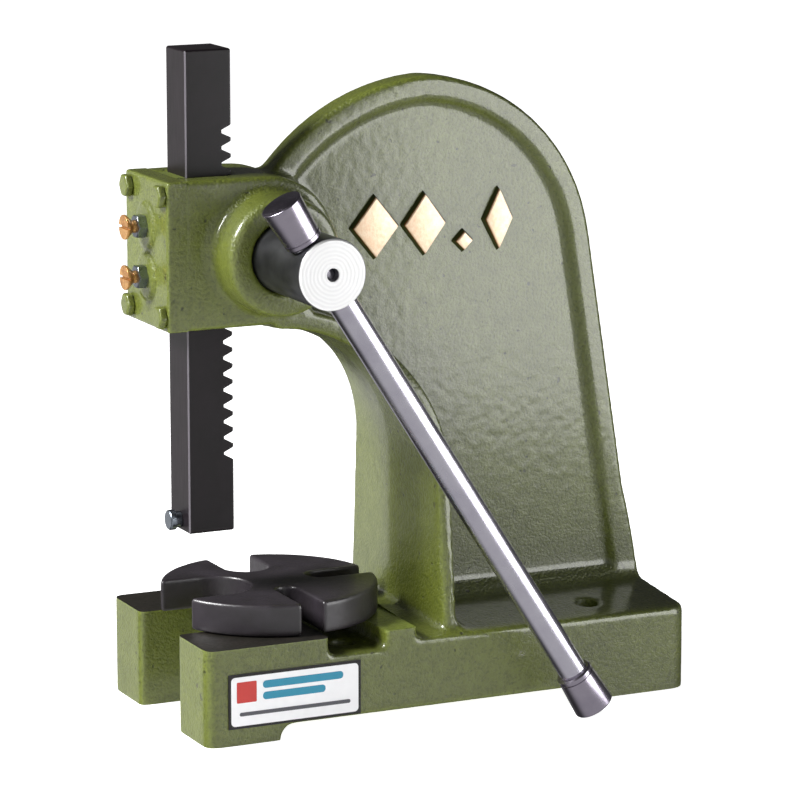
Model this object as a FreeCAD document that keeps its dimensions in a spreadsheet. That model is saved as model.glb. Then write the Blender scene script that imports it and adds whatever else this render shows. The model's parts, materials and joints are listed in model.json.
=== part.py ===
import FreeCAD, Part
import math
import os
import Sketcher

# One-ton arbor press, millimetres, +Z up.
# Origin: the ram's centre line where it meets the bench. The ram faces -Y (front), the column and
# web stand behind it (+Y), and the lever is on the right-hand side (+X).

os.makedirs("parts", exist_ok=True)
doc = FreeCAD.newDocument("ArborPress")
sheet = doc.addObject("Spreadsheet::Sheet", "Sizes")

DIMENSIONS = {
    # base casting
    "base_half": 65.2,
    "base_front": 25.4,
    "base_rear": 254.0,
    "pad_top": 51.2,
    "base_side_top": 44.5,
    "base_crown_top": 50.0,
    "pad_rear": 93.0,
    "trough_front": 43.0,
    "trough_rear": 75.0,
    "trough_floor": 41.5,
    "relief_height": 7.5,
    "relief_front": 16.0,
    "relief_rear": 193.0,
    "work_slot_radius": 25.5,
    "bench_hole_radius": 6.0,
    "bench_hole_half": 41.0,
    "front_hole_line": 60.0,
    "rear_hole_line": 204.5,
    "front_corner_radius": 5.0,
    "rear_corner_radius": 10.0,
    # column flange and throat
    "throat_radius": 80.5,
    "throat_line": 31.0,
    "flange_thick": 7.5,
    "flange_crown": 5.0,
    "foot_half": 58.5,
    "waist_half": 52.5,
    "waist_level": 118.0,
    "shoulder_radius": 165.0,
    "neck_level": 199.0,
    # web
    "rim_half": 9.0,
    "panel_half": 5.0,
    "rim_width": 12.5,
    "crown_line": 118.2,
    "crown_level": 225.6,
    "crown_radius": 105.0,
    "brow_line": 130.1,
    "brow_level": 208.7,
    "brow_radius": 120.5,
    "brow_start": 37.0,
    "summit_line": 125.0,
    "back_slope": 9.0,
    "flare_level": 100.0,
    "flare_radius": 400.0,
    "panel_floor": 54.7,
    # head
    "head_half": 28.7,
    "head_face": 18.7,
    "hub_line": 26.0,
    "hub_level": 247.5,
    "head_radius": 38.5,
    "boss_radius": 31.0,
    "boss_face": 52.0,
    "boss_round": 4.0,
    "far_boss_round": 2.0,
    "boss_root": 5.0,
    "far_boss_root": 3.0,
    "far_boss_radius": 22.0,
    "far_boss_face": 34.0,
    "channel_gap": 0.1,
    # cover and its fasteners
    "cover_thick": 10.7,
    "cover_pad_radius": 11.5,
    "cover_pad_raise": 1.5,
    "bolt_half": 22.0,
    "bolt_rise": 31.0,
    "screw_rise": 13.0,
    "screw_radius": 3.175,
    "screw_gap": 0.075,
    "hex_across": 11.1,
    "bolt_head": 4.0,
    "bolt_length": 24.0,
    "nut_thick": 5.0,
    "screw_head_radius": 6.4,
    "screw_head_face": 42.0,
    "screw_head_rim": 1.2,
    "screw_head_taper": 3.2,
    "screw_tip": 16.1,
    "drive_slot_width": 1.4,
    "drive_slot_depth": 1.5,
    "gib_half": 12.5,
    "gib_thick": 5.8,
    "gib_end_gap": 0.3,
    "gib_face_gap": 0.1,
    "gib_dimple_radius": 3.4,
    "gib_dimple_depth": 2.6,
    # ram and rack
    "ram_half": 12.7,
    "ram_bottom": 99.8,
    "ram_top": 350.4,
    "ram_chamfer": 0.8,
    "rack_start": 140.6,
    "rack_gaps": 21,
    "gear_module": 2.6667,
    "gear_teeth": 12,
    "pressure_angle": 25.0,
    "tooth_height": 2.7,
    "backlash": 0.3,
    "tool_bore_radius": 5.0,
    "tool_bore_depth": 25.0,
    "clamp_level": 105.5,
    "clamp_reach": 6.8,
    "clamp_neck_radius": 4.2,
    "clamp_head_radius": 5.3,
    "clamp_head_thick": 3.5,
    "clamp_shank_radius": 3.0,
    # pinion shaft
    "shaft_radius": 18.2,
    "shaft_gap": 0.06,
    "shaft_end": 108.0,
    "shaft_chamfer": 1.0,
    "centre_hole_radius": 3.4,
    "centre_hole_depth": 9.0,
    "root_radius": 12.75,
    "teeth_end": 14.0,
    "shaft_shoulder": 13.5,
    "journal_radius": 11.0,
    "end_play": 0.2,
    "washer_radius": 17.5,
    "washer_thick": 3.0,
    "keeper_radius": 4.0,
    "keeper_across": 13.0,
    "keeper_head": 5.3,
    "keeper_depth": 18.0,
    "spring_washer_radius": 7.2,
    "spring_washer_thick": 2.0,
    # lever
    "lever_station": 95.3,
    "lever_fall": 57.3,
    "lever_radius": 7.5,
    "lever_gap": 0.08,
    "lever_up": 18.3,
    "lever_down": 262.8,
    "knob_length": 23.5,
    "knob_inner_radius": 9.7,
    "knob_outer_radius": 10.85,
    "knob_chamfer": 0.8,
    "knob_groove_start": 2.6,
    "knob_groove_width": 0.9,
    "knob_groove_depth": 0.5,
    "knob_fit": 0.02,
    "spigot_radius": 5.0,
    "spigot_length": 15.0,
    # table plate
    "table_line": 37.5,
    "table_radius": 57.0,
    "table_thick": 17.0,
    "table_chamfer": 1.0,
    "slot_front_half": 20.0,
    "slot_front_reach": 31.8,
    "slot_left_half": 12.1,
    "slot_left_reach": 31.8,
    "slot_rear_half": 7.8,
    "slot_rear_reach": 29.5,
    "slot_right_half": 6.0,
    "slot_right_reach": 23.0,
    "pin_radius": 6.0,
    "pin_depth": 8.0,
    "pin_length": 34.0,
    "pin_gap": 0.06,
    # name plate
    "plate_front": 14.0,
    "plate_rear": 60.0,
    "plate_bottom": 9.0,
    "plate_top": 37.6,
    "plate_thick": 0.6,
}
for row, (alias, value) in enumerate(DIMENSIONS.items(), start=1):
    sheet.set("A%d" % row, alias)
    sheet.set("B%d" % row, str(value))
    sheet.setAlias("B%d" % row, alias)
doc.recompute()


def size(alias):
    """The sheet's value of one driving dimension."""
    return float(sheet.get(alias))


def formula(text):
    """Puts the sheet's name before every alias in an expression."""
    words = []
    word = ""
    for letter in text + " ":
        if letter.isalnum() or letter == "_":
            word += letter
            continue
        words.append("Sizes." + word if word in DIMENSIONS else word)
        words.append(letter)
        word = ""
    return "".join(words).strip()


def number(text):
    """The value of an expression over the sheet's aliases."""
    return float(sheet.evalExpression(formula(text)))


def bind(item, prop, text):
    """Ties one property of an object to an expression over the sheet."""
    item.setExpression(prop, formula(text))


def place(item, where, lean="0"):
    """Ties an object's placement to the sheet: a position, and a turn about the X direction."""
    item.Placement = FreeCAD.Placement(
        FreeCAD.Vector(0, 0, 0), FreeCAD.Rotation(FreeCAD.Vector(1, 0, 0), number(lean)))
    for letter, text in zip("xyz", where):
        bind(item, "Placement.Base." + letter, text)
    bind(item, "Placement.Rotation.Angle", lean)


def new_body(label, where=("0", "0", "0"), lean="0"):
    """A PartDesign body whose placement is tied to the sheet."""
    body = doc.addObject("PartDesign::Body", "Body_" + label)
    body.Label = label
    place(body, where, lean)
    return body


def new_sketch(body, name, plane, offset="0", axis=(0, 0, 1), spin="0"):
    """A sketch on one of the body's own origin planes, moved along the plane's normal and turned
    about an axis of its own."""
    sketch = body.newObject("Sketcher::SketchObject", body.Label + "_" + name)
    role = plane + "_Plane"
    support = [part for part in body.Origin.OriginFeatures if part.Role == role][0]
    sketch.AttachmentSupport = [(support, "")]
    sketch.MapMode = "FlatFace"
    sketch.AttachmentOffset = FreeCAD.Placement(
        FreeCAD.Vector(0, 0, 0), FreeCAD.Rotation(FreeCAD.Vector(*axis), number(spin)))
    bind(sketch, "AttachmentOffset.Base.z", offset)
    bind(sketch, "AttachmentOffset.Rotation.Angle", spin)
    return sketch


def fix_point(sketch, geometry, end, across, up):
    """Pins one end of a sketch line or arc at two expressions."""
    for kind, text in (("DistanceX", across), ("DistanceY", up)):
        rule = Sketcher.Constraint(kind, -1, 1, geometry, end, number(text))
        index = sketch.addConstraint(rule)
        bind(sketch, "Constraints[%d]" % index, text)


def outline(sketch, corners):
    """A closed outline. A corner is (across, up), or (across, up, radius) where the edge that
    arrives there is an arc: a positive radius turns to the left on the way, a negative one right."""
    first = sketch.GeometryCount
    count = len(corners)
    points = [FreeCAD.Vector(number(c[0]), number(c[1]), 0) for c in corners]
    for index in range(count):
        start = points[index]
        finish = points[(index + 1) % count]
        corner = corners[(index + 1) % count]
        if len(corner) == 2:
            sketch.addGeometry(Part.LineSegment(start, finish), False)
            continue
        radius = number(corner[2])
        chord = finish - start
        half = chord.Length / 2
        inward = math.sqrt(max(radius * radius - half * half, 0))
        left = FreeCAD.Vector(-chord.y, chord.x, 0).normalize()
        side = 1 if radius > 0 else -1
        sagitta = abs(radius) - inward
        middle = (start + finish) * 0.5 - left * (side * sagitta)
        sketch.addGeometry(Part.Arc(start, middle, finish), False)
    ends = [2] * count
    starts = [1] * count
    for index in range(count):
        geometry = sketch.Geometry[first + index]
        if geometry.TypeId == "Part::GeomArcOfCircle" and len(corners[(index + 1) % count]) == 3:
            if number(corners[(index + 1) % count][2]) < 0:
                starts[index], ends[index] = 2, 1
    for index in range(count):
        follower = (index + 1) % count
        rule = Sketcher.Constraint(
            "Coincident", first + index, ends[index], first + follower, starts[follower])
        sketch.addConstraint(rule)
        fix_point(sketch, first + index, starts[index], corners[index][0], corners[index][1])
        corner = corners[follower]
        if len(corner) == 3:
            rule = Sketcher.Constraint("Radius", first + index, abs(number(corner[2])))
            rank = sketch.addConstraint(rule)
            bind(sketch, "Constraints[%d]" % rank, "abs(" + corner[2] + ")")


def rectangle(sketch, left, right, bottom, top):
    outline(sketch, [(left, bottom), (right, bottom), (right, top), (left, top)])


def circle(sketch, across, up, radius):
    centre = FreeCAD.Vector(number(across), number(up), 0)
    index = sketch.addGeometry(Part.Circle(centre, FreeCAD.Vector(0, 0, 1), number(radius)), False)
    fix_point(sketch, index, 3, across, up)
    rule = Sketcher.Constraint("Radius", index, number(radius))
    rank = sketch.addConstraint(rule)
    bind(sketch, "Constraints[%d]" % rank, radius)


def extrude(body, kind, sketch, length, reverse=False, both=False, taper="0"):
    """A Pad or a Pocket; both spreads it evenly to the two sides of the sketch."""
    feature = body.newObject("PartDesign::" + kind, sketch.Name + "_" + kind)
    feature.Profile = sketch
    bind(feature, "Length", length)
    feature.Reversed = reverse
    if both:
        feature.SideType = "Symmetric"
    if taper != "0":
        bind(feature, "TaperAngle", taper)
    doc.recompute()
    return feature


def turn(body, kind, sketch, axis="V_Axis", angle="360", reverse=False):
    """A Revolution or a Groove about one of the sketch's axes."""
    feature = body.newObject("PartDesign::" + kind, sketch.Name + "_" + kind)
    feature.Profile = sketch
    feature.ReferenceAxis = (sketch, [axis])
    bind(feature, "Angle", angle)
    feature.Reversed = reverse
    doc.recompute()
    return feature


def edges_where(feature, test):
    """Names of a feature's edges whose middle point passes a test."""
    names = []
    for index, edge in enumerate(feature.Shape.Edges, start=1):
        middle = edge.valueAt((edge.FirstParameter + edge.LastParameter) / 2)
        if test(edge, middle):
            names.append("Edge%d" % index)
    return names


def dress(body, kind, base, names, amount):
    """A Fillet or a Chamfer on named edges of the feature before it."""
    feature = body.newObject("PartDesign::" + kind, "%s_%s%d" % (body.Label, kind, len(body.Group)))
    feature.Base = (base, names)
    bind(feature, "Radius" if kind == "Fillet" else "Size", amount)
    doc.recompute()
    return feature


def crown_point(radius, slope):
    """The point on the web's crown arc where its slope to the vertical is the given angle."""
    across = "crown_line + (%s) * cos((%s) * 1 deg)" % (radius, slope)
    up = "crown_level + (%s) * sin((%s) * 1 deg)" % (radius, slope)
    return across, up


def arc_height(centre_line, centre_level, radius, line):
    """Level of the upper side of a circle at a given line."""
    return "%s + sqrt((%s)^2 - (%s - %s)^2)" % (centre_level, radius, line, centre_line)


def web_outline(sketch, inset, floor, front_radius):
    """The web's outline, or with an inset the outline of the panel sunk into its sides.
    The front follows the throat, the top is two arcs and the back leans forward."""
    throat_level = "hub_level - head_radius - throat_radius"
    brow = "brow_radius - " + inset
    crown = "crown_radius - " + inset
    summit = arc_height("crown_line", "crown_level", crown, "summit_line")
    back_line, back_level = crown_point(crown, "back_slope")
    fall = "(%s - %s) * tan(back_slope * 1 deg)"
    if inset == "0":
        start_line = "brow_start"
        flare = fall % (back_level, "flare_level")
        back = [
            ("base_rear", "relief_height"),
            ("base_rear", "base_crown_top + 3"),
            (back_line + " + " + flare, "flare_level", "flare_radius"),
        ]
    else:
        start_line = "brow_start + " + inset
        back = [(back_line + " + " + fall % (back_level, floor), floor)]
    start_level = arc_height("brow_line", "brow_level", brow, start_line)
    front = "throat_line + " + front_radius
    outline(sketch, [
        (front, floor),
        *back,
        (back_line, back_level),
        ("summit_line", summit, crown),
        (start_line, start_level, brow),
        (start_line, "hub_level"),
        ("throat_line", "hub_level"),
        ("throat_line", throat_level + " + " + front_radius),
        (front, throat_level, "-(" + front_radius + ")"),
    ])


THROAT_LEVEL = "hub_level - head_radius - throat_radius"
COLUMN_FRONT = "throat_line + throat_radius"
HEAD_TOP = "hub_level + head_radius"
HEAD_BOTTOM = "hub_level - head_radius"


def base_plan(sketch):
    """Plan of the base: rounded corners, and the round-ended work slot open to the front."""
    outline(sketch, [
        ("base_half - front_corner_radius", "-base_front"),
        ("base_half", "front_corner_radius - base_front", "front_corner_radius"),
        ("base_half", "base_rear - rear_corner_radius"),
        ("base_half - rear_corner_radius", "base_rear", "rear_corner_radius"),
        ("rear_corner_radius - base_half", "base_rear"),
        ("-base_half", "base_rear - rear_corner_radius", "rear_corner_radius"),
        ("-base_half", "front_corner_radius - base_front"),
        ("front_corner_radius - base_half", "-base_front", "front_corner_radius"),
        ("-work_slot_radius", "-base_front"),
        ("-work_slot_radius", "0"),
        ("0", "work_slot_radius", "-work_slot_radius"),
        ("work_slot_radius", "0", "-work_slot_radius"),
        ("work_slot_radius", "-base_front"),
    ])


def add_base(body):
    """Base with machined pads, the trough between them, a ridged rear deck and relieved feet."""
    plan = new_sketch(body, "BasePlan", "XY")
    base_plan(plan)
    extrude(body, "Pad", plan, "pad_top")

    trough = new_sketch(body, "Trough", "YZ")
    rectangle(trough, "trough_front", "trough_rear", "trough_floor", "pad_top + 1")
    extrude(body, "Pocket", trough, "2 * base_half + 2", both=True)

    deck = new_sketch(body, "Deck", "XZ", "-pad_rear")
    outline(deck, [
        ("-base_half - 1", "base_side_top"),
        ("-rim_half", "base_crown_top"),
        ("rim_half", "base_crown_top"),
        ("base_half + 1", "base_side_top"),
        ("base_half + 1", "pad_top + 1"),
        ("-base_half - 1", "pad_top + 1"),
    ])
    extrude(body, "Pocket", deck, "base_rear - pad_rear + 1")

    relief = new_sketch(body, "Relief", "YZ")
    outline(relief, [
        ("relief_front", "0", "relief_height"),
        ("relief_rear", "0"),
        ("relief_rear - relief_height", "relief_height", "relief_height"),
        ("relief_front + relief_height", "relief_height"),
    ])
    extrude(body, "Pocket", relief, "2 * base_half + 2", both=True)

    holes = new_sketch(body, "BenchHoles", "XY")
    for side in ("-", ""):
        for line in ("front_hole_line", "rear_hole_line"):
            circle(holes, side + "bench_hole_half", line, "bench_hole_radius")
    circle(holes, "0", "table_line", "pin_radius + pin_gap")
    extrude(body, "Pocket", holes, "pad_top + 1", reverse=True)


def flange_profile(sketch):
    """Cross-section of the column flange: flat behind, a shallow ridge in front."""
    outline(sketch, [
        ("-foot_half", COLUMN_FRONT + " + flange_thick"),
        ("-foot_half", COLUMN_FRONT),
        ("0", COLUMN_FRONT + " - flange_crown"),
        ("foot_half", COLUMN_FRONT),
        ("foot_half", COLUMN_FRONT + " + flange_thick"),
    ])


def add_column(body):
    """Column flange, carried on round the throat to the head, narrowing upwards."""
    column = new_sketch(body, "Column", "XY", THROAT_LEVEL)
    flange_profile(column)
    extrude(body, "Pad", column, THROAT_LEVEL + " - relief_height", reverse=True)

    throat = new_sketch(body, "Throat", "XY", THROAT_LEVEL)
    flange_profile(throat)
    reach = number("foot_half")
    level = number("throat_line")
    hinge = Part.LineSegment(FreeCAD.Vector(-reach, level, 0), FreeCAD.Vector(reach, level, 0))
    line = throat.addGeometry(hinge, True)
    fix_point(throat, line, 1, "-foot_half", "throat_line")
    fix_point(throat, line, 2, "foot_half", "throat_line")
    turn(body, "Revolution", throat, "Axis0", "90")

    for side, name in ((1, "Right"), (-1, "Left")):
        trim = new_sketch(body, name + "Trim", "XZ", "-throat_line + 1")
        sign = "" if side > 0 else "-"
        top = HEAD_BOTTOM + " + flange_thick + flange_crown"
        outline(trim, [
            (sign + "foot_half", "pad_top + 1"),
            (sign + "(foot_half + 2)", "pad_top + 1"),
            (sign + "(foot_half + 2)", top),
            (sign + "head_half", top),
            (sign + "head_half", "neck_level"),
            (sign + "waist_half", "waist_level", ("-" if side > 0 else "") + "shoulder_radius"),
        ])
        extrude(body, "Pocket", trim, "throat_radius + flange_thick + 10")


def add_web(body):
    """Web behind the column, thick at its rim, with a panel sunk into each side."""
    middle = "throat_radius + flange_thick / 2"
    web = new_sketch(body, "Web", "YZ")
    web_outline(web, "0", "relief_height", middle)
    extrude(body, "Pad", web, "2 * rim_half", both=True)
    for side, name in ((1, "Right"), (-1, "Left")):
        panel = new_sketch(body, name + "Panel", "YZ", "%d * rim_half" % side)
        web_outline(panel, "rim_width", "panel_floor", middle)
        extrude(body, "Pocket", panel, "rim_half - panel_half", reverse=side < 0)


def round_boss_edge(body, station, boss_radius, fillet):
    """Rounds the whole circle that a boss makes at this distance along X."""
    base = body.Tip
    across = number(station)
    length = 2 * math.pi * size(boss_radius)
    names = edges_where(base, lambda edge, middle: (
        edge.Closed and abs(middle.x - across) < 0.01 and abs(edge.Length - length) < 0.01))
    dress(body, "Fillet", base, names, fillet)


def add_head(body):
    """Head with its round back, the long lever-side boss and the short far-side boss."""
    head = new_sketch(body, "Head", "YZ")
    outline(head, [
        ("-head_face", HEAD_BOTTOM),
        ("hub_line", HEAD_BOTTOM),
        ("hub_line + head_radius", "hub_level", "head_radius"),
        ("hub_line", HEAD_TOP, "head_radius"),
        ("-head_face", HEAD_TOP),
    ])
    extrude(body, "Pad", head, "2 * head_half", both=True)

    boss = new_sketch(body, "Boss", "YZ", "head_half - 5")
    circle(boss, "hub_line", "hub_level", "boss_radius")
    extrude(body, "Pad", boss, "boss_face - head_half + 5")
    round_boss_edge(body, "boss_face", "boss_radius", "boss_round")
    round_boss_edge(body, "head_half", "boss_radius", "boss_root")
    far_boss = new_sketch(body, "FarBoss", "YZ", "5 - head_half")
    circle(far_boss, "hub_line", "hub_level", "far_boss_radius")
    extrude(body, "Pad", far_boss, "far_boss_face - head_half + 5", reverse=True)
    round_boss_edge(body, "-far_boss_face", "far_boss_radius", "far_boss_round")
    round_boss_edge(body, "-head_half", "far_boss_radius", "far_boss_root")


def bore_head(body):
    """Ram channel, pinion bore in two steps and the tapped holes of the cover."""
    channel = new_sketch(body, "Channel", "XY", HEAD_TOP + " + 1")
    wall = "ram_half + channel_gap"
    rectangle(channel, "-(" + wall + ")", wall, "-head_face - 1", wall)
    extrude(body, "Pocket", channel, "2 * head_radius + 4")

    bore = new_sketch(body, "PinionBore", "YZ", "-shaft_shoulder - shaft_gap")
    circle(bore, "hub_line", "hub_level", "shaft_radius + shaft_gap")
    extrude(body, "Pocket", bore, "boss_face + shaft_shoulder + 1", reverse=True)
    journal = new_sketch(body, "JournalBore", "YZ", "-shaft_shoulder + 1")
    circle(journal, "hub_line", "hub_level", "journal_radius + shaft_gap")
    extrude(body, "Pocket", journal, "far_boss_face")

    taps = new_sketch(body, "CoverTaps", "XZ", "head_face")
    for side in ("-", ""):
        for rise in (" - ", " + "):
            level = "hub_level" + rise + "bolt_rise"
            circle(taps, side + "bolt_half", level, "screw_radius + screw_gap")
    extrude(body, "Pocket", taps, "bolt_length - cover_thick + 2")


def make_frame():
    """The one casting: base, column flange, web and head, with its machined seats and bores."""
    body = new_body("frame")
    add_base(body)
    add_column(body)
    add_web(body)
    add_head(body)
    bore_head(body)
    return body


COVER_FACE = "head_face + cover_thick"
SCREW_HOLE = "screw_radius + screw_gap"
SCREW_LEVELS = {"upper": "hub_level + screw_rise", "lower": "hub_level - screw_rise"}


def make_front_cover():
    """Plate that closes the ram channel, with a round pad under each lock nut."""
    body = new_body("front_cover")
    plate = new_sketch(body, "Plate", "XZ", "head_face")
    rectangle(plate, "-head_half", "head_half", HEAD_BOTTOM, HEAD_TOP)
    extrude(body, "Pad", plate, "cover_thick")

    pads = new_sketch(body, "NutPads", "XZ", COVER_FACE)
    for level in SCREW_LEVELS.values():
        circle(pads, "0", level, "cover_pad_radius")
    extrude(body, "Pad", pads, "cover_pad_raise")

    holes = new_sketch(body, "Holes", "XZ", COVER_FACE + " + cover_pad_raise")
    for level in SCREW_LEVELS.values():
        circle(holes, "0", level, SCREW_HOLE)
    for side in ("-", ""):
        for rise in (" - ", " + "):
            circle(holes, side + "bolt_half", "hub_level" + rise + "bolt_rise", SCREW_HOLE)
    extrude(body, "Pocket", holes, "cover_thick + cover_pad_raise + 1")
    return body


def solid(kind, name, sizes, where=("0", "0", "0"), lean="0"):
    """A Part primitive with its sizes and its placement tied to the sheet."""
    item = doc.addObject("Part::" + kind, name)
    for prop, text in sizes.items():
        bind(item, prop, text)
    place(item, where, lean)
    return item


def join(kind, name, first, second):
    """A Part boolean of two objects."""
    item = doc.addObject("Part::" + kind, name)
    item.Base = first
    item.Tool = second
    return item


def hexagon_head(name, across, thick):
    """Hexagon along +Z with its top corners chamfered at thirty degrees."""
    block = solid("Prism", name + "_Block", {"Circumradius": across + " / sqrt(3)", "Height": thick})
    block.Polygon = 6
    crest = "0.47 * " + across
    cone = solid("Cone", name + "_Crest", {
        "Radius1": crest + " + sqrt(3) * " + thick,
        "Radius2": crest,
        "Height": thick,
    })
    return join("Common", name + "_Head", block, cone)


def make_bolt(name, across, thick, radius, length):
    """Hexagon bolt along +Z: the head above zero, the shank below."""
    head = hexagon_head(name, across, thick)
    shank = solid("Cylinder", name + "_Shank", {"Radius": radius, "Height": length + " + 1"},
                  ("0", "0", "-(" + length + ")"))
    return join("Fuse", name, head, shank)


def make_cover_bolts():
    """The four hexagon bolts of the front cover."""
    bolts = []
    for side in ("-", ""):
        for rise in (" - ", " + "):
            name = "CoverBolt%d" % (len(bolts) + 1)
            bolt = make_bolt(name, "hex_across", "bolt_head", "screw_radius", "bolt_length")
            where = (side + "bolt_half", "-(" + COVER_FACE + ")", "hub_level" + rise + "bolt_rise")
            place(bolt, where, "90")
            bolts.append(bolt)
    group = doc.addObject("Part::Compound", "CoverBolts")
    group.Label = "cover_bolts"
    group.Links = bolts
    return group


def make_adjusting_screw(position):
    """Countersunk brass screw that presses on the gib strip, its head standing clear in front."""
    reach = "screw_head_face - screw_tip"
    body = new_body("adjusting_screw_" + position, ("0", "-screw_tip", SCREW_LEVELS[position]), "90")
    turned = new_sketch(body, "Turned", "XZ")
    outline(turned, [
        ("0", "0"),
        ("screw_radius - 0.7", "0"),
        ("screw_radius", "0.7"),
        ("screw_radius", reach + " - screw_head_rim - screw_head_taper"),
        ("screw_head_radius", reach + " - screw_head_rim"),
        ("screw_head_radius", reach),
        ("0", reach),
    ])
    turn(body, "Revolution", turned)
    slot = new_sketch(body, "DriveSlot", "XY", reach)
    rectangle(slot, "-screw_head_radius - 1", "screw_head_radius + 1",
              "-drive_slot_width / 2", "drive_slot_width / 2")
    extrude(body, "Pocket", slot, "drive_slot_depth")
    return body


def make_lock_nut(position):
    """Hexagon nut that locks an adjusting screw against its pad on the cover."""
    name = "LockNut_" + position
    block = hexagon_head(name, "hex_across", "nut_thick")
    hole = solid("Cylinder", name + "_Hole", {"Radius": SCREW_HOLE, "Height": "nut_thick + 2"},
                 ("0", "0", "-1"))
    nut = join("Cut", name, block, hole)
    nut.Label = "lock_nut_" + position
    place(nut, ("0", "-(" + COVER_FACE + " + cover_pad_raise)", SCREW_LEVELS[position]), "90")
    return nut


def make_gib_strip():
    """Flat strip between the cover and the ram, with a dimple for each adjusting screw."""
    body = new_body("gib_strip")
    back = "head_face - gib_face_gap"
    strip = new_sketch(body, "Strip", "XZ", back)
    rectangle(strip, "-gib_half", "gib_half",
              HEAD_BOTTOM + " + gib_end_gap", HEAD_TOP + " - gib_end_gap")
    extrude(body, "Pad", strip, "gib_thick", reverse=True)
    dimples = new_sketch(body, "Dimples", "XZ", back)
    for level in SCREW_LEVELS.values():
        circle(dimples, "0", level, "gib_dimple_radius")
    extrude(body, "Pocket", dimples, "gib_dimple_depth")
    return body


def rack_pitch():
    return "pi * gear_module"


def make_ram():
    """Square ram with rack teeth on its back, and a tool bore and clamp hole in its nose."""
    body = new_body("ram")
    section = new_sketch(body, "Section", "XY", "ram_bottom")
    rectangle(section, "-ram_half", "ram_half", "-ram_half", "ram_half")
    bar = extrude(body, "Pad", section, "ram_top - ram_bottom")
    corners = edges_where(bar, lambda edge, middle: edge.Length > 0)
    bar = dress(body, "Chamfer", bar, corners, "ram_chamfer")

    gap = new_sketch(body, "Gap", "YZ")
    pitch_line = "ram_half - tooth_height"
    slope = "tan(pressure_angle * 1 deg)"
    quarter = "(" + rack_pitch() + " / 4)"
    wide = "(%s + (tooth_height + 1) * %s)" % (quarter, slope)
    narrow = "(%s - tooth_height * %s)" % (quarter, slope)
    outline(gap, [
        ("ram_half + 1", "rack_start - " + wide),
        ("ram_half + 1", "rack_start + " + wide),
        (pitch_line + " - tooth_height", "rack_start + " + narrow),
        (pitch_line + " - tooth_height", "rack_start - " + narrow),
    ])
    cut = extrude(body, "Pocket", gap, "2 * ram_half + 2", both=True)
    rack = body.newObject("PartDesign::LinearPattern", "RackTeeth")
    rack.Originals = [cut]
    rack.Direction = (gap, ["V_Axis"])
    bind(rack, "Length", "(rack_gaps - 1) * " + rack_pitch())
    bind(rack, "Occurrences", "rack_gaps")
    body.Tip = rack
    doc.recompute()

    bore = new_sketch(body, "ToolBore", "XY", "ram_bottom")
    circle(bore, "0", "0", "tool_bore_radius")
    extrude(body, "Pocket", bore, "tool_bore_depth", reverse=True)
    tap = new_sketch(body, "ClampHole", "XZ", "ram_half")
    circle(tap, "0", "clamp_level", "clamp_shank_radius + screw_gap")
    extrude(body, "Pocket", tap, "ram_half")
    return body


def make_clamp_screw():
    """Screw in the ram's nose that holds a tool's shank, and meets the head as the upper stop."""
    body = new_body("clamp_screw", ("0", "-ram_half", "clamp_level"), "90")
    turned = new_sketch(body, "Turned", "XZ")
    outline(turned, [
        ("0", "tool_bore_radius - ram_half + 0.5"),
        ("clamp_shank_radius", "tool_bore_radius - ram_half + 0.5"),
        ("clamp_shank_radius", "0.05"),
        ("clamp_neck_radius", "0.05"),
        ("clamp_neck_radius", "clamp_reach - clamp_head_thick"),
        ("clamp_head_radius", "clamp_reach - clamp_head_thick"),
        ("clamp_head_radius", "clamp_reach - 0.6"),
        ("clamp_head_radius - 0.6", "clamp_reach"),
        ("0", "clamp_reach"),
    ])
    turn(body, "Revolution", turned)
    return body


def involute(radius):
    """Involute function at a radius on a pinion tooth's flank."""
    base = size("gear_module") * size("gear_teeth") / 2 * math.cos(math.radians(size("pressure_angle")))
    angle = math.acos(min(base / radius, 1.0))
    return math.tan(angle) - angle


def draw_tooth_gap(sketch):
    """One gap between two pinion teeth: a root line, radial feet and involute flanks."""
    pitch_radius = size("gear_module") * size("gear_teeth") / 2
    base = pitch_radius * math.cos(math.radians(size("pressure_angle")))
    outer = size("shaft_radius") + 0.8
    half_pitch = math.pi / size("gear_teeth")
    half_tooth = half_pitch / 2 - size("backlash") / 2 / pitch_radius
    rack_pitch_size = math.pi * size("gear_module")
    gaps_up = round((size("hub_level") - size("rack_start")) / rack_pitch_size)
    offset = size("rack_start") + gaps_up * rack_pitch_size - size("hub_level")
    centre = math.pi - offset / pitch_radius - half_pitch

    def flank_point(radius, side):
        spread = half_pitch - half_tooth - involute(pitch_radius) + involute(max(radius, base))
        angle = centre + side * spread
        return FreeCAD.Vector(radius * math.cos(angle), radius * math.sin(angle), 0)

    root = size("root_radius")
    middle = (base + outer) / 2
    left = [flank_point(radius, -1) for radius in (root, base, middle, outer)]
    right = [flank_point(radius, 1) for radius in (root, base, middle, outer)]
    edges = [
        Part.LineSegment(right[0], left[0]),
        Part.LineSegment(left[0], left[1]),
        Part.Arc(left[1], left[2], left[3]),
        Part.LineSegment(left[3], right[3]),
        Part.Arc(right[3], right[2], right[1]),
        Part.LineSegment(right[1], right[0]),
    ]
    for edge in edges:
        index = sketch.addGeometry(edge, False)
        sketch.addConstraint(Sketcher.Constraint("Block", index))


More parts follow.
